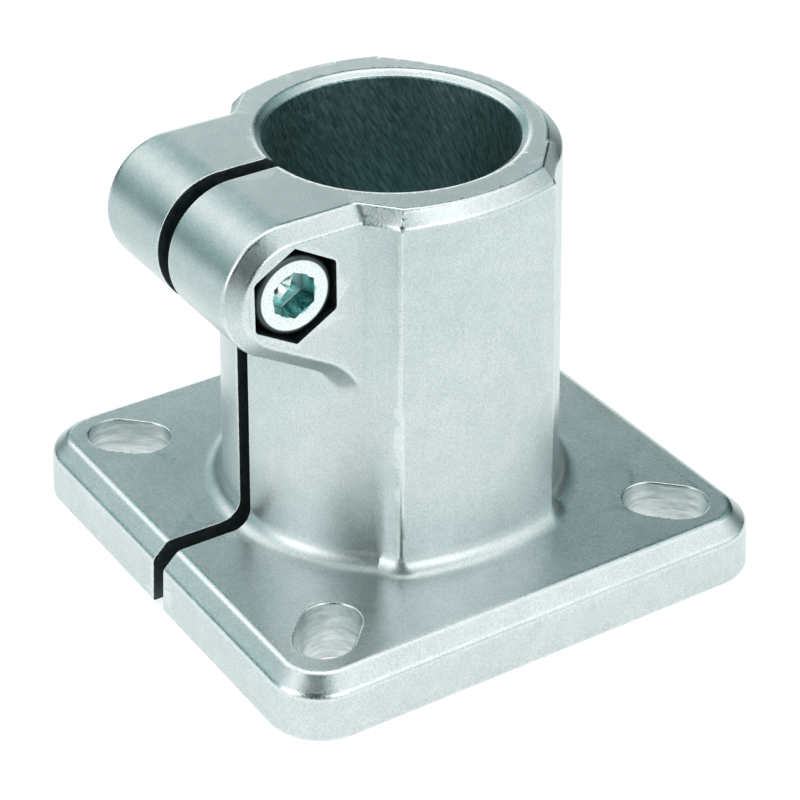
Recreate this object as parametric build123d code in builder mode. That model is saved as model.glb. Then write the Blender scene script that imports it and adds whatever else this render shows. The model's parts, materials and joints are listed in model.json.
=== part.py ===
from build123d import *
import math
import os

os.makedirs("parts", exist_ok=True)

# A cast aluminium base flange that stands a round tube on a flat surface. One
# socket head screw pinches the slit side of its collar round the tube.
# Origin: on the tube's axis, at the underside of the foot plate. +Z is up the
# tube, the slit and the two clamp ears are on the -X side, and the screw lies
# along Y with its head on the -Y side. All sizes are in millimetres.

# Tube and collar. The cast walls lean in by the draft angle as they rise, so
# the collar's plan sizes are those at the underside. The collar's outside is
# set a little towards the slit, where its wall is thicker.
tube_d = 30.0
height = 55.0
collar_r = 21.0
collar_x = -0.3
draft_angle = 1.0
bore_chamfer = 1.0
rim_chamfer = 1.8

# Thickened panels on the two sides of the collar that face along Y
panel_reach = 21.4
panel_face_r = 33.0
panel_half = 11.0
panel_corner_r = 0.9
flank_splay = 32.0
flank_root_r = 1.0

# Foot plate
plate_side = 67.0
plate_t = 8.0
plate_corner_r = 7.0
plate_draft = 3.0
plate_chamfer = 2.0
foot_fillet = 2.4

# Fixing slots, one on each diagonal
slot_count = 4
slot_centre_r = 34.2
slot_w = 7.0
slot_l = 10.5
slot_rim_bevel = 0.6

# Clamp ears and slit
slit_w = 2.4
ear_half_w = 15.2
ear_chamfer = 1.8
ear_nose_r = 8.3
ear_underside_slope = 30.0
ear_root_start = -19.1
ear_root_r = 8.5
ear_wall_fillet = 1.2
screw_x = -22.0
screw_z = height - ear_nose_r

# Seats of the M6 screw and its nut, one hexagonal pocket in each ear
screw_hole_d = 6.6
pocket_af = 10.3
pocket_depth = 6.4

# M6 socket head cap screw
thread_d = 6.0
screw_l = 25.0
thread_bevel = 0.6
head_d = 10.0
head_h = 6.0
head_chamfer = 0.6
key_af = 5.0
key_depth = 3.0

# M6 hex nut
nut_af = 10.0
nut_h = 5.0
nut_hole_d = 6.1


def hex_r(across_flats):
    """Corner radius of a hexagon, given its size across the flats."""
    return across_flats / math.sqrt(3)


# ---- Flange body: one casting, machined in the bore, slit and screw seats ----

# Where a panel's face ends, and how its flanks run back inside the round collar
panel_sag = panel_face_r - math.sqrt(panel_face_r**2 - panel_half**2)
panel_corner_y = panel_reach - panel_sag
flank_depth = 6.0
flank_root_x = panel_half + flank_depth * math.tan(math.radians(flank_splay))
flank_root_y = panel_corner_y - flank_depth

# The ear's underside leaves the round nose at a tangent, slopes down towards the
# collar, and turns down into its wall in a concave arc. The rest of its outline
# is inside the collar.
underside = math.radians(ear_underside_slope)
nose_end_x = screw_x - ear_nose_r * math.sin(underside)
nose_end_z = screw_z - ear_nose_r * math.cos(underside)
root_start_z = nose_end_z - (ear_root_start - nose_end_x) * math.tan(underside)
root_centre_x = ear_root_start - ear_root_r * math.sin(underside)
root_centre_z = root_start_z - ear_root_r * math.cos(underside)
root_middle = math.radians(90 - ear_underside_slope) / 2
ear_inner_x = -tube_d / 3


def ear_profile(plane, flip):
    """The ears' side view on a plane whose local X runs along flip * X."""
    with BuildSketch(plane) as profile:
        with BuildLine():
            Line((flip * ear_inner_x, height), (flip * screw_x, height))
            ThreePointArc(
                (flip * screw_x, height),
                (flip * (screw_x - ear_nose_r), screw_z),
                (flip * nose_end_x, nose_end_z),
            )
            Line((flip * nose_end_x, nose_end_z), (flip * ear_root_start, root_start_z))
            ThreePointArc(
                (flip * ear_root_start, root_start_z),
                (
                    flip * (root_centre_x + ear_root_r * math.cos(root_middle)),
                    root_centre_z + ear_root_r * math.sin(root_middle),
                ),
                (flip * (root_centre_x + ear_root_r), root_centre_z),
            )
            Polyline(
                (flip * (root_centre_x + ear_root_r), root_centre_z),
                (flip * ear_inner_x, root_centre_z),
                (flip * ear_inner_x, height),
            )
        make_face()
    return profile.sketch


def distance_off_axis(edge):
    """How far an edge's middle lies from the tube's axis."""
    middle = edge.position_at(0.5)
    return math.hypot(middle.X, middle.Y)


def edges_at(piece, level):
    """The edges of a piece that lie flat at one height."""
    return piece.edges().filter_by_position(Axis.Z, level - 0.01, level + 0.01)


with BuildPart() as flange_body:
    # Collar: a round tube with a thickened panel front and back
    with BuildSketch(Plane((collar_x, 0, 0))) as collar_plan:
        Circle(collar_r)
        for side in (1, -1):
            with BuildLine():
                ThreePointArc(
                    (-panel_half, side * panel_corner_y),
                    (0, side * panel_reach),
                    (panel_half, side * panel_corner_y),
                )
                Polyline(
                    (panel_half, side * panel_corner_y),
                    (flank_root_x, side * flank_root_y),
                    (-flank_root_x, side * flank_root_y),
                    (-panel_half, side * panel_corner_y),
                )
            make_face()
        flank_roots = collar_plan.vertices().filter_by(
            lambda v: abs(math.hypot(v.X, v.Y) - collar_r) < 0.05
        )
        fillet(flank_roots, flank_root_r)
    extrude(amount=height)
    collar_walls = flange_body.faces().filter_by(lambda f: abs(f.normal_at().Z) < 0.5)
    draft(collar_walls, Plane.XY, draft_angle)
    chamfer(flange_body.faces().sort_by(Axis.Z)[-1].edges(), rim_chamfer)

    # Clamp ears: a straight core, and both cheeks drawn in by a 45 degree edge
    core_half_w = ear_half_w - ear_chamfer
    extrude(ear_profile(Plane.XZ, 1), amount=core_half_w, both=True)
    for side in (1, -1):
        cheek = Plane((0, side * core_half_w, 0), x_dir=(-side, 0, 0), z_dir=(0, side, 0))
        extrude(ear_profile(cheek, -side), amount=ear_chamfer, taper=45)

    # A small fillet where the ears' undersides run out on the collar's wall
    ear_roots = flange_body.edges().filter_by(
        lambda e: e.center().X < root_centre_x + ear_root_r + 2
        and root_centre_z < e.center().Z < nose_end_z
        and distance_off_axis(e) < collar_r
    )
    fillet(ear_roots, ear_wall_fillet)

    # Foot plate, bevelled all round its top edge
    with BuildSketch():
        RectangleRounded(plate_side, plate_side, plate_corner_r)
    extrude(amount=plate_t, taper=plate_draft)
    plate_rim = edges_at(flange_body, plate_t).filter_by(
        lambda e: distance_off_axis(e) > plate_side * 0.4
    )
    chamfer(plate_rim, plate_chamfer)

    # Rounded upright corners on the panels, and a fillet all round the foot of the collar
    panel_corners = flange_body.edges().filter_by(
        lambda e: abs(e.tangent_at(0.5).Z) > 0.5
        and abs(e.center().X - collar_x) < panel_half
        and flank_root_y < abs(e.center().Y) < panel_reach
        and plate_t + 1 < e.center().Z < height - rim_chamfer
    )
    fillet(panel_corners, panel_corner_r)
    collar_foot = edges_at(flange_body, plate_t).filter_by(
        lambda e: distance_off_axis(e) < plate_side * 0.35
    )
    fillet(collar_foot, foot_fillet)

    # Bore, bevelled at both ends
    Hole(tube_d / 2)
    bore_ends = flange_body.edges().filter_by(GeomType.CIRCLE).filter_by(
        lambda e: abs(e.radius - tube_d / 2) < 0.01
    )
    chamfer(bore_ends, bore_chamfer)

    # Fixing slots, running out along the diagonals, with softened rims
    with BuildSketch(Plane.XY.offset(plate_t)):
        with PolarLocations(slot_centre_r, slot_count, start_angle=45):
            SlotOverall(slot_l, slot_w)
    extrude(amount=-plate_t, mode=Mode.SUBTRACT)
    slot_rims = edges_at(flange_body, plate_t).filter_by(
        lambda e: abs(distance_off_axis(e) - slot_centre_r) < slot_l / 2 + 0.1
        and e.length < slot_w * 2
    )
    chamfer(slot_rims, slot_rim_bevel)

    # Screw hole through both ears, and a hexagonal pocket in each cheek
    with BuildSketch(Plane.XZ):
        with Locations((screw_x, screw_z)):
            Circle(screw_hole_d / 2)
    extrude(amount=ear_half_w, both=True, mode=Mode.SUBTRACT)
    for side in (1, -1):
        with BuildSketch(Plane.XZ.offset(side * (ear_half_w - pocket_depth))):
            with Locations((screw_x, screw_z)):
                RegularPolygon(hex_r(pocket_af), 6, rotation=90)
        extrude(amount=side * (pocket_depth + 1), mode=Mode.SUBTRACT)

    # Slit, cut from the ears through the collar and the plate to the bore
    with BuildSketch():
        with Locations((-plate_side / 2, 0)):
            Rectangle(plate_side, slit_w)
    extrude(amount=height, mode=Mode.SUBTRACT)

flange_body.part.label = "flange_body"
export_step(flange_body.part, "parts/flange_body.step")


# ---- Clamp screw: M6 socket head cap screw, its head sunk in the front pocket ----

# The head bears on the pocket's floor, and the thread runs on to the nut
head_seat_y = -(ear_half_w - pocket_depth)

with BuildPart() as clamp_screw:
    with BuildSketch(Plane.XZ.offset(-head_seat_y)):
        with Locations((screw_x, screw_z)):
            Circle(head_d / 2)
    extrude(amount=head_h)
    head_face = clamp_screw.faces().sort_by(Axis.Y)[0]
    chamfer(head_face.edges(), head_chamfer)

    # Shank, with a small bevel at its tip
    with BuildSketch(Plane.XZ.offset(-head_seat_y)):
        with Locations((screw_x, screw_z)):
            Circle(thread_d / 2)
    extrude(amount=-screw_l)
    chamfer(clamp_screw.faces().sort_by(Axis.Y)[-1].edges(), thread_bevel)

    # Hexagon socket for the key
    with BuildSketch(Plane.XZ.offset(-head_seat_y + head_h)):
        with Locations((screw_x, screw_z)):
            RegularPolygon(hex_r(key_af), 6, rotation=90)
    extrude(amount=-key_depth, mode=Mode.SUBTRACT)

clamp_screw.part.label = "clamp_screw"
export_step(clamp_screw.part, "parts/clamp_screw.step")


# ---- Clamp nut: M6 hexagon nut, held against turning by the rear pocket ----

with BuildPart() as clamp_nut:
    with BuildSketch(Plane.XZ.offset(head_seat_y)):
        with Locations((screw_x, screw_z)):
            RegularPolygon(hex_r(nut_af), 6, rotation=90)
            Circle(nut_hole_d / 2, mode=Mode.SUBTRACT)
    extrude(amount=-nut_h)

clamp_nut.part.label = "clamp_nut"
export_step(clamp_nut.part, "parts/clamp_nut.step")
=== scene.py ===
import json
import math

import bmesh
import bpy
import numpy as np
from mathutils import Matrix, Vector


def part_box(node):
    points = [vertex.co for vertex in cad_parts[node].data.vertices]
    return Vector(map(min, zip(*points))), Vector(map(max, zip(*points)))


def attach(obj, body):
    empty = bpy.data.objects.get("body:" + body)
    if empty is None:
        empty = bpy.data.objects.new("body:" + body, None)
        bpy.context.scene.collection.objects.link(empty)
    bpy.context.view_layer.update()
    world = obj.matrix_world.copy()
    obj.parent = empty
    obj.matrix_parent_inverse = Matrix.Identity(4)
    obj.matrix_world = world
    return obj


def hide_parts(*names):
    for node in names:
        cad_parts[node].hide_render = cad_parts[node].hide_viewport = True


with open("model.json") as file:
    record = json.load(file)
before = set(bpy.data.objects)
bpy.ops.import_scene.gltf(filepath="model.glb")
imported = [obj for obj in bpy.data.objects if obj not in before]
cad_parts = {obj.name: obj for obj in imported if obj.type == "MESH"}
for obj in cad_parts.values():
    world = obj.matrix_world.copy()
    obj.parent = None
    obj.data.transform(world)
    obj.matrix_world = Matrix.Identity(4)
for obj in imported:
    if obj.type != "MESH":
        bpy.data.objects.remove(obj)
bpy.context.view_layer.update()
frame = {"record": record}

import openvdb
from mathutils import Matrix, Vector


# ---- Flange body ----
# One aluminium casting: a square foot, an upright collar with a thickened panel
# front and back, and two clamp ears. It is cast, bored, sawn through at the slit,
# then blasted and tumbled, which leaves a fine grain and softens every edge.

# All three metal pieces are worked out in millimetres, as the distance from the
# piece's skin, which is negative inside the metal.

body_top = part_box("flange_body")[1] * 1000
height = body_top.z
plate_half = body_top.x
bore_mount = next(m for m in frame["record"]["mounts"] if m["name"] == "tube_bore")
bore_r = bore_mount["dims"]["r_mm"]
screw_low, screw_high = (corner * 1000 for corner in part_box("clamp_screw"))
screw_x = (screw_low.x + screw_high.x) / 2
screw_z = (screw_low.z + screw_high.z) / 2

# Collar
collar_r = 21.0
collar_x = -0.3
collar_lean = math.tan(math.radians(1.0))
panel_reach = 21.4
panel_face_r = 33.0
panel_half = 11.0
panel_corner_y = panel_reach - panel_face_r + math.sqrt(panel_face_r**2 - panel_half**2)
flank_splay = math.radians(28.0)
flank_fillet = 0.12
panel_depth = 6.0
rim_bevel = 1.8
bore_bevel_w = 1.0
bore_bevel_h = 0.7

# Foot plate and its slots
plate_t = 8.0
plate_corner_r = 7.0
plate_lean = math.tan(math.radians(3.0))
plate_bevel = 2.0
foot_fillet_r = 2.4
slot_centre_r = 34.2
slot_half_w = 3.5
slot_straight = 1.75
slot_rim_r = 0.22

# Clamp ears
ear_half_w = 15.2
ear_bevel = 1.8
nose_r = height - screw_z
underside = math.radians(30.0)
root_start_x = -19.1
root_r = 8.5
root_end_drop = 1.0
root_end_edge = 0.5
ear_reach_in = 5.0
ear_fillet = 0.3
nose_end_x = screw_x - nose_r * math.sin(underside)
nose_end_z = screw_z - nose_r * math.cos(underside)
root_start_z = nose_end_z - (root_start_x - nose_end_x) * math.tan(underside)
root_x = root_start_x - root_r * math.sin(underside)
root_z = root_start_z - root_r * math.cos(underside)
slit_half_w = 1.2
screw_hole_r = 3.3
pocket_half_af = 5.15
pocket_floor_y = 8.8

# How much tumbling has rounded the edges
cast_edge = 0.18
foot_edge = 0.3
panel_corner_edge = 0.4
panel_rim_corner = 1.0
pocket_corner_edge = 0.3
pocket_floor_edge = 0.25
cut_edge = 0.14


def join(a, b, fillet):
    """Two solids made one, with a fillet where they meet."""
    return np.maximum(fillet, np.minimum(a, b)) - np.hypot(
        np.maximum(fillet - a, 0), np.maximum(fillet - b, 0)
    )


def trim(a, b, edge):
    """What two solids share, with the edge between them rounded."""
    return np.minimum(-edge, np.maximum(a, b)) + np.hypot(
        np.maximum(edge + a, 0), np.maximum(edge + b, 0)
    )


def bevel(wall, top, width):
    """The 45 degree plane that takes the edge off between a wall and a top."""
    return (wall + top + width) / math.sqrt(2)


def collar_form(x, y, z):
    """Round collar with its two panels, leaning in as it rises, bevelled at the rim."""
    x = x - collar_x
    round_wall = np.hypot(x, y) - collar_r
    front = np.hypot(x, np.abs(y) + panel_face_r - panel_reach) - panel_face_r
    flank = (np.abs(x) - panel_half) * math.cos(flank_splay)
    flank = flank + (np.abs(y) - panel_corner_y) * math.sin(flank_splay)
    buried = panel_corner_y - panel_depth - np.abs(y)
    panel = np.maximum(trim(front, flank, panel_corner_edge), buried)
    wall = join(round_wall, panel, flank_fillet) + z * collar_lean

    # The rim's bevel follows a panel with rounder corners, so it turns them softly
    rim_panel = trim(front + panel_rim_corner, flank + panel_rim_corner, panel_corner_edge)
    rim_panel = np.maximum(rim_panel - panel_rim_corner, buried - rim_bevel)
    rim_wall = join(round_wall, rim_panel, flank_fillet) + z * collar_lean
    top = z - height
    return trim(np.maximum(wall, top), bevel(rim_wall, top, rim_bevel), cast_edge)


def ear_form(x, y, z):
    """Both ears as one bar along Y: round nose, sloping underside, concave root."""
    across, up = x - screw_x, z - screw_z
    below = -across * math.sin(underside) - up * math.cos(underside)
    along = across * math.cos(underside) - up * math.sin(underside)
    outline = np.where((up <= 0) & (below <= 0), np.maximum(up, below), np.hypot(across, up))
    outline = np.where((up > 0) & (across > 0), up, outline)
    outline = np.where((below > 0) & (along > 0), below, outline) - nose_r
    from_root_x, from_root_z = x - root_x, z - root_z
    in_root = (from_root_x > 0) & (from_root_z < from_root_x / math.tan(underside))
    root = np.where(from_root_z > 0, np.hypot(from_root_x, from_root_z), from_root_x)
    outline = np.where(in_root, root_r - root, outline)
    outline = trim(outline, root_z - root_end_drop - z, root_end_edge)
    cheek = np.abs(y) - ear_half_w
    bar = trim(np.maximum(outline, cheek), bevel(outline, cheek, ear_bevel), cast_edge)

    # The bar reaches into the bore, which cuts it off at the collar's inner wall
    return np.maximum(bar, x + bore_r - ear_reach_in)


def foot_form(x, y, z):
    """Square plate with round corners, leaning in a little, bevelled round its top."""
    corner_x = np.abs(x) - plate_half + plate_corner_r
    corner_y = np.abs(y) - plate_half + plate_corner_r
    side = np.hypot(np.maximum(corner_x, 0), np.maximum(corner_y, 0))
    side = side + np.minimum(np.maximum(corner_x, corner_y), 0) - plate_corner_r
    side = side + z * plate_lean
    top = z - plate_t
    return trim(np.maximum(side, top), bevel(side, top, plate_bevel), foot_edge)


def slot_tool(x, y):
    """The four fixing slots, along the diagonals."""
    along = np.abs((np.abs(x) + np.abs(y)) / math.sqrt(2) - slot_centre_r)
    across = (np.abs(x) - np.abs(y)) / math.sqrt(2)
    return np.hypot(np.maximum(along - slot_straight, 0), across) - slot_half_w


def bore_tool(x, y, z):
    """The tube's bore, opened by a bevel at both ends."""
    wall = np.hypot(x, y) - bore_r
    nearest_end = np.minimum(height - z, z)
    cone = (wall - bore_bevel_w) * bore_bevel_h + nearest_end * bore_bevel_w
    return join(wall, cone / math.hypot(bore_bevel_w, bore_bevel_h), cut_edge)


def slit_tool(x, y):
    """The saw cut that lets the collar close on the tube."""
    return np.maximum(np.abs(y) - slit_half_w, x)


def screw_seat_tool(x, y, z):
    """The screw's hole along Y, and a hexagonal pocket in each cheek."""
    across, up = np.abs(x - screw_x), np.abs(z - screw_z)
    slanted = across / 2 + up * math.sqrt(3) / 2 - pocket_half_af
    hexagon = trim(slanted, across - pocket_half_af, pocket_corner_edge)
    pocket = trim(hexagon, pocket_floor_y - np.abs(y), pocket_floor_edge)
    return np.minimum(pocket, np.hypot(across, up) - screw_hole_r)


def casting(x, y, z):
    """Distance from the skin of the whole body, in millimetres."""
    upright = join(collar_form(x, y, z), ear_form(x, y, z), ear_fillet)
    upright = np.maximum(upright, z - height)
    body = join(upright, foot_form(x, y, z), foot_fillet_r)
    body = trim(body, -z, foot_edge)
    body = trim(body, -slot_tool(x, y), slot_rim_r)
    body = trim(body, -bore_tool(x, y, z), cut_edge)
    body = trim(body, -slit_tool(x, y), cut_edge)
    return trim(body, -screw_seat_tool(x, y, z), cut_edge)


def slope(form, points, reach=0.01):
    """Which way the distance grows at each point: out of the skin."""
    steps = np.eye(3) * reach
    return np.stack(
        [
            (form(*(points + step).T) - form(*(points - step).T)) / (2 * reach)
            for step in steps
        ],
        axis=1,
    )


def outward(form, points):
    """The skin's normal at each point."""
    normals = slope(form, points)
    return normals / np.linalg.norm(normals, axis=1)[:, None]


def settle(form, points, rounds, least_steepness=0.25, longest_step=0.1):
    """Moves points that lie near the skin exactly onto it."""
    for _ in range(rounds):
        normals = slope(form, points)
        steepness = np.maximum((normals**2).sum(axis=1), least_steepness)
        step = np.clip(-form(*points.T) / steepness, -longest_step, longest_step)
        points = points + step[:, None] * normals
    return points


def add_object(name, data):
    """A new object in the scene."""
    new_object = bpy.data.objects.new(name, data)
    bpy.context.scene.collection.objects.link(new_object)
    return new_object


def fine_skin(name, form, low, high, grid_step, most_faces, bend_reach):
    """The skin of a form between two corners, in millimetres, as a smooth mesh in
    metres, with how sharply it bends kept at each point. Also gives the middle of
    each face, in millimetres."""
    # The skin is first traced on a fine grid, a slab at a time
    margin = 3 * grid_step
    limit = 5 * grid_step
    slab = 16
    low = np.array(low) - margin
    high = np.array(high) + margin
    lines = [np.arange(a, b, grid_step, dtype=np.float32) for a, b in zip(low, high)]
    distances = np.empty([len(line) for line in lines], np.float32)
    for first in range(0, len(lines[0]), slab):
        block = np.meshgrid(lines[0][first:first + slab], *lines[1:], indexing="ij")
        distances[first:first + slab] = np.clip(form(*block), -limit, limit)
    grid = openvdb.FloatGrid(limit)
    grid.copyFromArray(distances)
    grid.transform = openvdb.createLinearTransform(voxelSize=grid_step)
    points, triangles, quads = grid.convertToPolygons(isovalue=0, adaptivity=0.02)
    points = settle(form, np.asarray(points, float) + low, 4)

    # Each edge along which the skin turns too far is split, so that small rounded
    # corners stay smooth
    shortest_split = 0.3 * grid_step
    rough_mesh = bpy.data.meshes.new("rough_skin")
    rough_mesh.from_pydata(points.tolist(), [], quads.tolist() + triangles.tolist())
    rough = bmesh.new()
    rough.from_mesh(rough_mesh)
    bmesh.ops.triangulate(rough, faces=rough.faces)
    for widest_turn in (14, 16):
        rough.verts.index_update()
        rough.edges.ensure_lookup_table()
        points = np.array([vert.co for vert in rough.verts])
        normals = outward(form, points)
        ends = np.array([[vert.index for vert in edge.verts] for edge in rough.edges])
        cos_turn = (normals[ends[:, 0]] * normals[ends[:, 1]]).sum(axis=1)
        length = np.linalg.norm(points[ends[:, 0]] - points[ends[:, 1]], axis=1)
        too_wide = (cos_turn < math.cos(math.radians(widest_turn))) & (length > shortest_split)
        bmesh.ops.subdivide_edges(
            rough, edges=[rough.edges[i] for i in np.nonzero(too_wide)[0]], cuts=1
        )
        bmesh.ops.triangulate(rough, faces=rough.faces)
        points = settle(form, np.array([vert.co for vert in rough.verts]), 2)
        for vert, point in zip(rough.verts, points):
            vert.co = point
    rough.to_mesh(rough_mesh)
    rough.free()

    # Flat and gently curved stretches need fewer faces
    rough_skin = add_object("rough_skin", rough_mesh)
    thinning = rough_skin.modifiers.new("thinning", "DECIMATE")
    thinning.ratio = min(1, most_faces / len(rough_mesh.polygons))
    thinned = rough_skin.evaluated_get(bpy.context.evaluated_depsgraph_get())
    mesh = bpy.data.meshes.new_from_object(thinned)
    mesh.name = name
    bpy.data.objects.remove(rough_skin)
    bpy.data.meshes.remove(rough_mesh)

    points = np.empty(len(mesh.vertices) * 3)
    mesh.vertices.foreach_get("co", points)
    points = settle(form, points.reshape(-1, 3), 3)
    mesh.vertices.foreach_set("co", (points / 1000).ravel())
    mesh.update()
    mesh.shade_smooth()
    mesh.normals_split_custom_set_from_vertices(outward(form, points).tolist())

    # The bend is above zero on outside edges and below zero in corners: it is how
    # far six neighbours of a point lie outside the skin, all told
    bend = -6 * form(*points.T)
    for step in np.concatenate([np.eye(3), -np.eye(3)]) * bend_reach:
        bend = bend + form(*(points + step).T)
    bend = np.clip(bend / bend_reach, -1, 1).astype(np.float32)
    mesh.attributes.new("bend", "FLOAT", "POINT").data.foreach_set("value", bend)

    corners = np.empty(len(mesh.polygons) * 3, np.int32)
    mesh.polygons.foreach_get("vertices", corners)
    return mesh, points[corners.reshape(-1, 3)].mean(axis=1)


casting_mesh, middles = fine_skin(
    "casting", casting, (-plate_half, -plate_half, 0), (plate_half, plate_half, height),
    grid_step=0.2, most_faces=195000, bend_reach=0.25,
)


def noise(tree, coordinates, scale, detail=2.0, roughness=0.5):
    """A noise texture on given coordinates."""
    texture = tree.nodes.new("ShaderNodeTexNoise")
    texture.inputs["Scale"].default_value = scale
    texture.inputs["Detail"].default_value = detail
    texture.inputs["Roughness"].default_value = roughness
    tree.links.new(coordinates, texture.inputs["Vector"])
    return texture.outputs["Fac"]


def spread(tree, value, out_low, out_high, low=0.3, high=0.7):
    """A value's range stretched onto another one. Most noise is between 0.3 and 0.7."""
    stretch = tree.nodes.new("ShaderNodeMapRange")
    stretch.inputs["From Min"].default_value = low
    stretch.inputs["From Max"].default_value = high
    stretch.inputs["To Min"].default_value = out_low
    stretch.inputs["To Max"].default_value = out_high
    tree.links.new(value, stretch.inputs["Value"])
    return stretch.outputs["Result"]


def combine(tree, operation, first, second):
    """Arithmetic on two values; the second may be a plain number."""
    result = tree.nodes.new("ShaderNodeMath")
    result.operation = operation
    tree.links.new(first, result.inputs[0])
    if isinstance(second, float):
        result.inputs[1].default_value = second
    else:
        tree.links.new(second, result.inputs[1])
    return result.outputs[0]


def tint(tree, amount, dark, light):
    """A colour between two, by an amount from 0 to 1."""
    blend = tree.nodes.new("ShaderNodeMix")
    blend.data_type = "RGBA"
    blend.inputs["A"].default_value = (*dark, 1)
    blend.inputs["B"].default_value = (*light, 1)
    tree.links.new(amount, blend.inputs["Factor"])
    return blend.outputs["Result"]


def relief(tree, value, depth, strength=1.0, onto=None):
    """Bump from a value, its depth in metres, on top of another bump if one is given."""
    bump = tree.nodes.new("ShaderNodeBump")
    bump.inputs["Distance"].default_value = depth
    bump.inputs["Strength"].default_value = strength
    tree.links.new(value, bump.inputs["Height"])
    if onto is not None:
        tree.links.new(onto, bump.inputs["Normal"])
    return bump.outputs["Normal"]


def metal(name):
    """A bare metal material, with its tree and the places on the piece."""
    material = bpy.data.materials.new(name)
    material.use_nodes = True
    tree = material.node_tree
    tree.nodes["Principled BSDF"].inputs["Metallic"].default_value = 1.0
    place = tree.nodes.new("ShaderNodeTexCoord").outputs["Object"]
    return material, tree, place


def dress(tree, colour, roughness, normal):
    """Gives a metal its colour, roughness and bump."""
    shader = tree.nodes["Principled BSDF"]
    tree.links.new(colour, shader.inputs["Base Color"])
    tree.links.new(roughness, shader.inputs["Roughness"])
    tree.links.new(normal, shader.inputs["Normal"])


def bend_of_skin(tree):
    """How sharply the skin bends: above zero on outside edges, below in corners."""
    bend = tree.nodes.new("ShaderNodeAttribute")
    bend.attribute_name = "bend"
    return bend.outputs["Fac"]


# Blasted and tumbled skin: a fine grain, soft patches, edges brightened by tumbling wear and a
# painted highlight, and creases darkened with painted shade
wear_and_highlight_brightening = 0.12
worn_polish = 0.08
crease_painted_shade = 0.10
blasted, tree, place = metal("blasted cast aluminium")
grain = noise(tree, place, scale=4200, detail=2.0, roughness=0.6)
mottle = noise(tree, place, scale=420, detail=3.0, roughness=0.6)
patches = noise(tree, place, scale=90, detail=2.0)
# Convex edges: brighter in colour for tumbling wear and a painted highlight, and polished
worn_and_highlit_edges = spread(tree, bend_of_skin(tree), 0, 1, low=0.1, high=0.35)
# Painted shade: concave creases are darkened in the base colour
painted_crease_shade = spread(tree, bend_of_skin(tree), crease_painted_shade, 0, low=-0.6, high=-0.15)
tone = spread(tree, grain, 0.88, 1.09, low=0.35, high=0.65)
tone = combine(tree, "MULTIPLY", tone, spread(tree, mottle, 0.96, 1.04))
tone = combine(tree, "MULTIPLY", tone, spread(tree, patches, 0.97, 1.03))
tone = combine(tree, "ADD", tone, combine(tree, "MULTIPLY", worn_and_highlit_edges, wear_and_highlight_brightening))
tone = combine(tree, "SUBTRACT", tone, painted_crease_shade)
tone = spread(tree, tone, 0, 1, low=0.7, high=1.2)
gloss = combine(tree, "ADD", spread(tree, grain, 0.33, 0.39), spread(tree, patches, -0.03, 0.03))
gloss = combine(tree, "SUBTRACT", gloss, combine(tree, "MULTIPLY", worn_and_highlit_edges, worn_polish))
grain_relief = relief(tree, grain, depth=0.00004, strength=0.4)
dress(
    tree, tint(tree, tone, dark=(0.40, 0.465, 0.47), light=(0.735, 0.78, 0.78)), gloss,
    relief(tree, mottle, depth=0.00004, strength=0.3, onto=grain_relief),
)

# Bored surface: darkened with painted shade inside the bore, with fine tool marks that slant
# across the unrolled wall and are drawn out along their length
mark_slant = math.radians(118)
mark_squeeze = 0.16
bored_painted_shade, tree, place = metal("bored aluminium")
split = tree.nodes.new("ShaderNodeSeparateXYZ")
tree.links.new(place, split.inputs["Vector"])
angle_round = combine(tree, "ARCTAN2", split.outputs["Y"], split.outputs["X"])
round_way = combine(tree, "MULTIPLY", angle_round, bore_r / 1000)
rise = split.outputs["Z"]
along_mark = combine(
    tree, "ADD",
    combine(tree, "MULTIPLY", round_way, math.cos(mark_slant) * mark_squeeze),
    combine(tree, "MULTIPLY", rise, -math.sin(mark_slant) * mark_squeeze),
)
across_mark = combine(
    tree, "ADD",
    combine(tree, "MULTIPLY", round_way, math.sin(mark_slant)),
    combine(tree, "MULTIPLY", rise, math.cos(mark_slant)),
)
unrolled = tree.nodes.new("ShaderNodeCombineXYZ")
tree.links.new(across_mark, unrolled.inputs["X"])
tree.links.new(along_mark, unrolled.inputs["Y"])
marks = noise(tree, unrolled.outputs["Vector"], scale=2600, detail=3.0, roughness=0.65)
grain = noise(tree, place, scale=1800, detail=2.0)
tone = spread(tree, marks, 0, 1, low=0.40, high=0.75)
# Painted shade: the bore's dark blue-green colours
dress(
    tree, tint(tree, tone, dark=(0.16, 0.28, 0.28), light=(0.46, 0.62, 0.62)),
    spread(tree, grain, 0.36, 0.50), relief(tree, marks, depth=0.00005, strength=0.5),
)

# Sawn slit and screw pockets: out of the blast's reach and dull, and painted nearly black with
# painted shade
recess_painted_shade, tree, place = metal("sawn recess")
grain = noise(tree, place, scale=1500, detail=2.0)
# Painted shade: near-black colours for the slit and the pockets
dress(
    tree, tint(tree, grain, dark=(0.03, 0.045, 0.045), light=(0.10, 0.13, 0.13)),
    spread(tree, grain, 0.5, 0.65), relief(tree, grain, depth=0.00004, strength=0.4),
)

# Milled slot walls: brighter, with the cutter's marks running round them
milled, tree, place = metal("milled aluminium")
flatten = tree.nodes.new("ShaderNodeMapping")
flatten.inputs["Scale"].default_value = (0.2, 0.2, 1)
tree.links.new(place, flatten.inputs["Vector"])
marks = noise(tree, flatten.outputs["Vector"], scale=1500, detail=3.0, roughness=0.65)
tone = spread(tree, marks, 0, 1)
dress(
    tree, tint(tree, tone, dark=(0.50, 0.57, 0.57), light=(0.86, 0.90, 0.90)),
    spread(tree, marks, 0.42, 0.30), relief(tree, marks, depth=0.0001, strength=0.6),
)


def coat(mesh, finishes, which):
    """Gives each face one of some materials, by its place in the list."""
    for finish in finishes:
        mesh.materials.append(finish)
    mesh.polygons.foreach_set("material_index", which.astype(np.int32))


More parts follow.
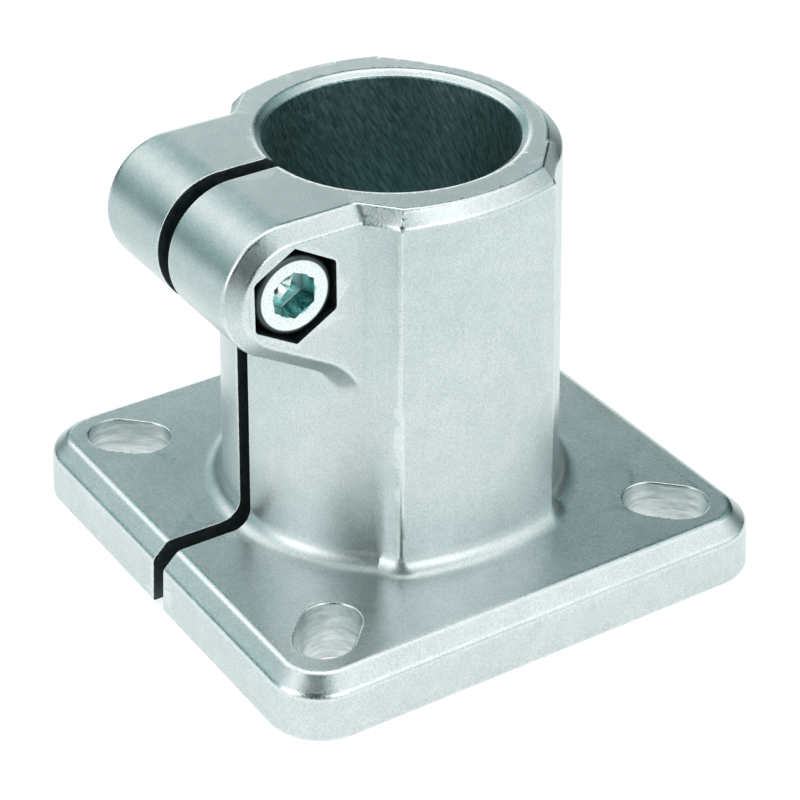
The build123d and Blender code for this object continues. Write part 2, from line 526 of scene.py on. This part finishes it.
# How far from a tool's path, in millimetres, a face still has the tool's finish, which in the
# bore and the recesses carries painted shade
bore_marks_and_shade_reach = 0.12
recess_shade_reach = 0.03
slot_finish_reach = 0.05
x, y, z = middles.T
in_bore = np.hypot(x, y) < bore_r + bore_marks_and_shade_reach
in_recess = np.minimum(slit_tool(x, y), screw_seat_tool(x, y, z)) < recess_shade_reach
in_slot = (slot_tool(x, y) < slot_finish_reach) & (z < plate_t - slot_rim_r)
coat(
    casting_mesh, (blasted, bored_painted_shade, recess_painted_shade, milled),
    np.select([in_recess, in_bore, in_slot], [2, 1, 3], 0),
)

casting_piece = add_object("casting", casting_mesh)
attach(casting_piece, "root")
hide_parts("flange_body")


# ---- Clamp screw ----
# An M6 socket cap screw of zinc-plated steel: a knurled round head with a
# hexagon socket for the key, and a rolled thread along the whole shank. Its head
# lies in the front pocket, and it draws the two ears together.

# Head, from its face at the pocket's mouth to its seat
head_r = 5.0
head_start_y = screw_low.y
head_end_y = head_start_y + 6.0
head_edge_r = 0.8
head_seat_edge = 0.15
head_root_fillet = 0.2
knurl_count = 64
knurl_depth = 0.07
knurl_clearance = 0.02
knurl_start = 0.7
knurl_fade_in = 0.3
knurl_end = 0.3
knurl_fade_out = 0.2

# Hexagon socket for the key, with a conical mouth and the drill's pit below
key_half_af = 2.5
key_depth = 3.0
key_floor_edge = 0.08
key_rim_edge = 0.05
key_mouth_r = 2.72
key_pit_r = 1.3
key_pit_slope = 0.6
key_pit_overlap = 0.3

# Threaded shank
tip_y = screw_high.y
tip_bevel = 0.6
tip_edge = 0.05
shank_overlap = 1.0
thread_r = 2.94
thread_pitch = 1.0
thread_groove = 0.54
thread_crest_half = thread_pitch / 16
thread_crest_edge = 0.04
thread_root_fillet = 0.06


def thread_form(x, y, z):
    """A 60 degree thread along Y, endless, turning to the right."""
    radius = np.hypot(x - screw_x, z - screw_z)
    turned = np.arctan2(z - screw_z, x - screw_x) / (2 * math.pi)
    from_crest = np.abs((y / thread_pitch + turned) % 1 - 0.5) * thread_pitch
    flank = (radius - thread_r + math.sqrt(3) * (from_crest - thread_crest_half)) / 2
    ridge = trim(flank, radius - thread_r, thread_crest_edge)
    return join(ridge, radius - thread_r + thread_groove, thread_root_fillet)


def screw_form(x, y, z):
    """Distance from the skin of the screw, in millimetres."""
    radius = np.hypot(x - screw_x, z - screw_z)
    turned = np.arctan2(z - screw_z, x - screw_x)
    knurled = np.clip((y - head_start_y - knurl_start) / knurl_fade_in, 0, 1)
    knurled = knurled * np.clip((head_end_y - knurl_end - y) / knurl_fade_out, 0, 1)
    side = radius - head_r + knurl_clearance
    side = side + knurled * knurl_depth * (1 + np.cos(turned * knurl_count))
    head = trim(side, head_start_y - y, head_edge_r)
    head = trim(head, y - head_end_y, head_seat_edge)
    tip_cone = (radius + y - tip_y - thread_r + tip_bevel) / math.sqrt(2)
    shank = trim(thread_form(x, y, z), tip_cone, tip_edge)
    shank = np.maximum(shank, y - tip_y)
    screw = join(head, np.maximum(shank, head_end_y - shank_overlap - y), head_root_fillet)

    across, up = np.abs(x - screw_x), np.abs(z - screw_z)
    key_hexagon = np.maximum(across, across / 2 + up * math.sqrt(3) / 2) - key_half_af
    depth = y - head_start_y
    key_hole = trim(key_hexagon, depth - key_depth, key_floor_edge)
    pit = (radius - key_pit_r) * key_pit_slope + depth - key_depth
    pit = np.maximum(pit / math.hypot(key_pit_slope, 1), key_depth - key_pit_overlap - depth)
    mouth = (radius - key_mouth_r + depth * math.sqrt(3)) / 2
    key_hole = np.minimum(np.minimum(key_hole, pit), mouth)
    return trim(screw, -key_hole, key_rim_edge)


screw_mesh, middles = fine_skin(
    "clamp_screw", screw_form,
    (screw_x - head_r, head_start_y, screw_z - head_r),
    (screw_x + head_r, tip_y, screw_z + head_r),
    grid_step=0.1, most_faces=120000, bend_reach=0.08,
)

# Bright zinc: nearly smooth, faintly uneven, dull in the grooves and darkened there with painted
# shade
painted_groove_shade = 0.5
groove_roughening = 0.2
zinc, tree, place = metal("bright zinc plating")
clouds = noise(tree, place, scale=700, detail=3.0)
pitting = noise(tree, place, scale=5000, detail=2.0)
grooves = spread(tree, bend_of_skin(tree), 1, 0, low=-0.5, high=-0.1)
# Painted shade: grooves darkened in colour
groove_shade = combine(tree, "MULTIPLY", grooves, painted_groove_shade)
tone = combine(tree, "SUBTRACT", spread(tree, clouds, 0.75, 1), groove_shade)
groove_gloss = combine(tree, "MULTIPLY", grooves, groove_roughening)
dress(
    tree, tint(tree, tone, dark=(0.40, 0.50, 0.51), light=(0.82, 0.86, 0.87)),
    combine(tree, "ADD", spread(tree, clouds, 0.13, 0.22), groove_gloss),
    relief(tree, pitting, depth=0.00001, strength=0.3),
)

# Rounded edge and side of the head, and the thread: bright up to a circle round
# the axis, and outside it, where the head is knurled and sits in the pocket, dull and
# painted nearly black with painted shade
shade_start_r = 4.15
shade_full_r = 4.3
dull_roughening = 0.2
zinc_with_painted_shade, tree, place = metal("dull zinc plating")
clouds = noise(tree, place, scale=900, detail=3.0)
pitting = noise(tree, place, scale=4000, detail=2.0)
from_axis = tree.nodes.new("ShaderNodeVectorMath")
from_axis.operation = "SUBTRACT"
from_axis.inputs[1].default_value = (screw_x / 1000, 0, screw_z / 1000)
tree.links.new(place, from_axis.inputs[0])
across_axis = tree.nodes.new("ShaderNodeVectorMath")
across_axis.operation = "MULTIPLY"
across_axis.inputs[1].default_value = (1, 0, 1)
tree.links.new(from_axis.outputs["Vector"], across_axis.inputs[0])
axis_distance = tree.nodes.new("ShaderNodeVectorMath")
axis_distance.operation = "LENGTH"
tree.links.new(across_axis.outputs["Vector"], axis_distance.inputs[0])
dull_and_painted_shade = spread(
    tree, axis_distance.outputs["Value"], 0, 1, low=shade_start_r / 1000, high=shade_full_r / 1000,
)
bright_tone = spread(tree, pitting, 0, 1, low=0.3, high=0.6)
bright_colour = tint(tree, bright_tone, dark=(0.66, 0.74, 0.75), light=(0.84, 0.88, 0.89))
# Painted shade: near-black colour outside the circle
painted_shade_colour = tint(tree, clouds, dark=(0.03, 0.04, 0.04), light=(0.10, 0.13, 0.13))
blend = tree.nodes.new("ShaderNodeMix")
blend.data_type = "RGBA"
tree.links.new(dull_and_painted_shade, blend.inputs["Factor"])
tree.links.new(bright_colour, blend.inputs["A"])
tree.links.new(painted_shade_colour, blend.inputs["B"])
dull_gloss = combine(tree, "MULTIPLY", dull_and_painted_shade, dull_roughening)
dress(
    tree, blend.outputs["Result"],
    combine(tree, "ADD", spread(tree, clouds, 0.14, 0.22), dull_gloss),
    relief(tree, pitting, depth=0.00002, strength=0.3),
)

# Walls of the key socket: a sea-green passivated film left by the plating bath
green_zinc, tree, place = metal("passivated zinc plating")
clouds = noise(tree, place, scale=900, detail=3.0)
dress(
    tree, tint(tree, clouds, dark=(0.04, 0.20, 0.21), light=(0.18, 0.46, 0.42)),
    spread(tree, clouds, 0.12, 0.22), relief(tree, clouds, depth=0.00002, strength=0.3),
)

# Where each plating lies, in millimetres off the axis and into the head
face_ring_w = 0.3
side_start = 4.5
socket_reach = key_half_af * 1.2
socket_start = 0.04
socket_end = key_depth - 0.1
off_axis = np.hypot(middles[:, 0] - screw_x, middles[:, 2] - screw_z)
into_head = middles[:, 1] - head_start_y
# Faces on the side get the zinc with painted shade
on_side = (off_axis > key_mouth_r + face_ring_w) | (into_head > side_start)
in_socket = (off_axis < socket_reach) & (into_head > socket_start) & (into_head < socket_end)
coat(
    screw_mesh, (zinc, zinc_with_painted_shade, green_zinc),
    np.select([in_socket, on_side], [2, 1], 0),
)

screw_piece = add_object("socket_cap_screw", screw_mesh)
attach(screw_piece, "root")
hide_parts("clamp_screw")


# ---- Clamp nut ----
# An M6 hexagon nut of zinc-plated steel, with its corners chamfered on both
# faces. It sits in the rear pocket, which keeps it from turning.

nut_low, nut_high = (corner * 1000 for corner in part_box("clamp_nut"))
nut_middle_y = (nut_low.y + nut_high.y) / 2
nut_half_height = (nut_high.y - nut_low.y) / 2
nut_half_af = (nut_high.x - nut_low.x) / 2
nut_corner_edge = 0.12
nut_face_edge = 0.06
nut_chamfer_r = 4.8
nut_mouth_r = 3.3
nut_mouth_edge = 0.04
thread_gap = 0.05


def nut_form(x, y, z):
    """Distance from the skin of the nut, in millimetres."""
    across, up = np.abs(x - screw_x), np.abs(z - screw_z)
    radius = np.hypot(across, up)
    face = np.abs(y - nut_middle_y) - nut_half_height
    slanted = across / 2 + up * math.sqrt(3) / 2 - nut_half_af
    hexagon = trim(slanted, across - nut_half_af, nut_corner_edge)
    nut = trim(hexagon, face, nut_face_edge)
    chamfer = (radius - nut_chamfer_r) / 2 + face * math.sqrt(3) / 2
    nut = trim(nut, chamfer, nut_face_edge)
    mouth = (radius - nut_mouth_r - face * math.sqrt(3)) / 2
    hole = np.minimum(thread_form(x, y, z) - thread_gap, mouth)
    return trim(nut, -hole, nut_mouth_edge)


nut_mesh, _ = fine_skin(
    "clamp_nut", nut_form, nut_low, nut_high,
    grid_step=0.1, most_faces=50000, bend_reach=0.08,
)
nut_mesh.materials.append(zinc)

nut_piece = add_object("hexagon_nut", nut_mesh)
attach(nut_piece, "root")
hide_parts("clamp_nut")


# ---- Floor ----
# A plain white table top, lit through from below so that it stays pale. Away from
# the part it is dimmed and tinted blue-green with painted shade on every side, most of all
# to the left and at the back.

floor_half = 2.0
floor_gap = 0.0001
table_light = 0.731

# Each painted shade zone's side, its bearing, where it starts and is full in millimetres
# from the tube's axis, and how much it dims
painted_shade_zones = [
    ("right", -41, 50, 85, 0.070),
    ("left", 155, 50, 85, 0.280),
    ("front", -123, 64, 95, 0.100),
    ("back", 57, 167, 205, 0.300),
]
floor_mesh = bpy.data.meshes.new("floor")
floor_mesh.from_pydata(
    [(-floor_half, -floor_half, 0), (floor_half, -floor_half, 0),
     (floor_half, floor_half, 0), (-floor_half, floor_half, 0)],
    [], [(0, 1, 2, 3)],
)
floor = add_object("floor", floor_mesh)
floor.location.z = -floor_gap
table_top = bpy.data.materials.new("white table")
table_top.use_nodes = True
tree = table_top.node_tree
shader = tree.nodes["Principled BSDF"]
shader.inputs["Base Color"].default_value = (0.5, 0.5, 0.5, 1)
shader.inputs["Roughness"].default_value = 0.9
shader.inputs["Specular IOR Level"].default_value = 0


def glow(tree, value, edge_start, edge_end, inside, outside):
    """A brightness that changes softly as a value passes an edge."""
    fade = tree.nodes.new("ShaderNodeMapRange")
    fade.interpolation_type = "SMOOTHSTEP"
    fade.inputs["From Min"].default_value = edge_start
    fade.inputs["From Max"].default_value = edge_end
    fade.inputs["To Min"].default_value = inside
    fade.inputs["To Max"].default_value = outside
    tree.links.new(value, fade.inputs["Value"])
    return fade.outputs["Result"]


def direction(bearing, rise):
    """A unit vector from its bearing from +X and its rise, in degrees."""
    bearing, rise = math.radians(bearing), math.radians(rise)
    level = math.cos(rise)
    return math.cos(bearing) * level, math.sin(bearing) * level, math.sin(rise)


def towards(tree, coordinates, way):
    """How far coordinates reach in a direction."""
    reach = tree.nodes.new("ShaderNodeVectorMath")
    reach.operation = "DOT_PRODUCT"
    reach.inputs[1].default_value = way
    tree.links.new(coordinates, reach.inputs[0])
    return reach.outputs["Value"]


spot = tree.nodes.new("ShaderNodeTexCoord").outputs["Object"]
brightness = None
for _, bearing, start, end, painted_dimming in painted_shade_zones:
    reach = towards(tree, spot, direction(bearing, 0))
    share = glow(tree, reach, start / 1000, end / 1000, 0, -painted_dimming)
    brightness = share if brightness is None else combine(tree, "ADD", brightness, share)
brightness = combine(tree, "ADD", brightness, table_light)
tree.links.new(brightness, shader.inputs["Emission Strength"])
# Painted shade: the dimmer floor turns blue-green
tone = spread(tree, brightness, 0, 1, low=0.2, high=0.7)
colour = tint(tree, tone, dark=(0.75, 1, 1), light=(0.98, 1, 1))
tree.links.new(colour, shader.inputs["Emission Color"])
floor_mesh.materials.append(table_top)


# ---- Studio light ----
# A tent with soft lights round it, each with its bearing from +X, its rise above
# the floor and its half width in degrees, and its brightness. It is dim between
# them, and nearly dark where the camera stands.

soft_lights = [
    ("left, low", 180, 8, 28, 1.649),
    ("left", 180, 33, 28, 1.882),
    ("front, low", -90, 8, 28, 0.736),
    ("front", -90, 33, 28, 1.910),
    ("front right, low", -60, 8, 28, 0.674),
    ("front right", -60, 33, 28, 0.556),
    ("right, low", -30, 8, 28, 0.495),
    ("right", -30, 33, 28, 0.811),
    ("back right, low", 60, 8, 28, 1.537),
    ("back", 90, 33, 28, 0.396),
    ("back left, low", 150, 8, 28, 0.325),
    ("back left", 122, 32, 28, 0.780),
    ("high front", -60, 60, 38, 0.394),
    ("high right", 0, 60, 38, 0.574),
    ("high back", 120, 60, 38, 1.035),
    ("top", 0, 88, 38, 1.067),
]
light_middle = math.cos(math.radians(3))
camera_gap = direction(-131, 53)
gap_edge = math.cos(math.radians(31)), math.cos(math.radians(14))
gap_light = 0.12
red_share = 0.9
least_red = 0.08

world = bpy.data.worlds.new("studio")
world.use_nodes = True
tree = world.node_tree
background = tree.nodes["Background"]
heading = tree.nodes.new("ShaderNodeTexCoord").outputs["Generated"]
brightness = None
for _, bearing, rise, width, strength in soft_lights:
    border = math.cos(math.radians(width))
    reach = towards(tree, heading, direction(bearing, rise))
    share = glow(tree, reach, border, light_middle, 0, strength)
    brightness = share if brightness is None else combine(tree, "ADD", brightness, share)
gap = glow(tree, towards(tree, heading, camera_gap), *gap_edge, 1, gap_light)
brightness = combine(tree, "MULTIPLY", brightness, gap)

# Dim light is blue-green, bright light is neutral
warmth = combine(tree, "MULTIPLY", brightness, red_share)
warmth = combine(tree, "ADD", warmth, least_red)
warmth = combine(tree, "MINIMUM", warmth, 1.0)
light_colour = tree.nodes.new("ShaderNodeCombineColor")
tree.links.new(warmth, light_colour.inputs["Red"])
light_colour.inputs["Green"].default_value = 1.0
light_colour.inputs["Blue"].default_value = 1.0
tree.links.new(light_colour.outputs["Color"], background.inputs["Color"])
tree.links.new(brightness, background.inputs["Strength"])
bpy.context.scene.world = world
bpy.context.scene.view_settings.view_transform = "Standard"


# ---- Camera ----
# It looks down on the part from the front left, through a long lens that keeps
# the collar's upright edges nearly parallel.

camera_azimuth = math.radians(-32.65)
camera_elevation = math.radians(32.23)
camera_roll = math.radians(-0.08)
camera_distance = 0.3247
camera_aim = Vector((0.0008, -0.0005, 0.0179))
camera_data = bpy.data.cameras.new("camera")
camera_data.sensor_width = 36
camera_data.lens = 119.2
camera = add_object("camera", camera_data)
towards_camera = Vector((
    math.sin(camera_azimuth) * math.cos(camera_elevation),
    -math.cos(camera_azimuth) * math.cos(camera_elevation),
    math.sin(camera_elevation),
))
camera.matrix_world = (
    Matrix.Translation(camera_aim + towards_camera * camera_distance)
    @ Matrix.Rotation(camera_azimuth, 4, "Z")
    @ Matrix.Rotation(math.pi / 2 - camera_elevation, 4, "X")
    @ Matrix.Rotation(camera_roll, 4, "Z")
)
bpy.context.scene.camera = camera
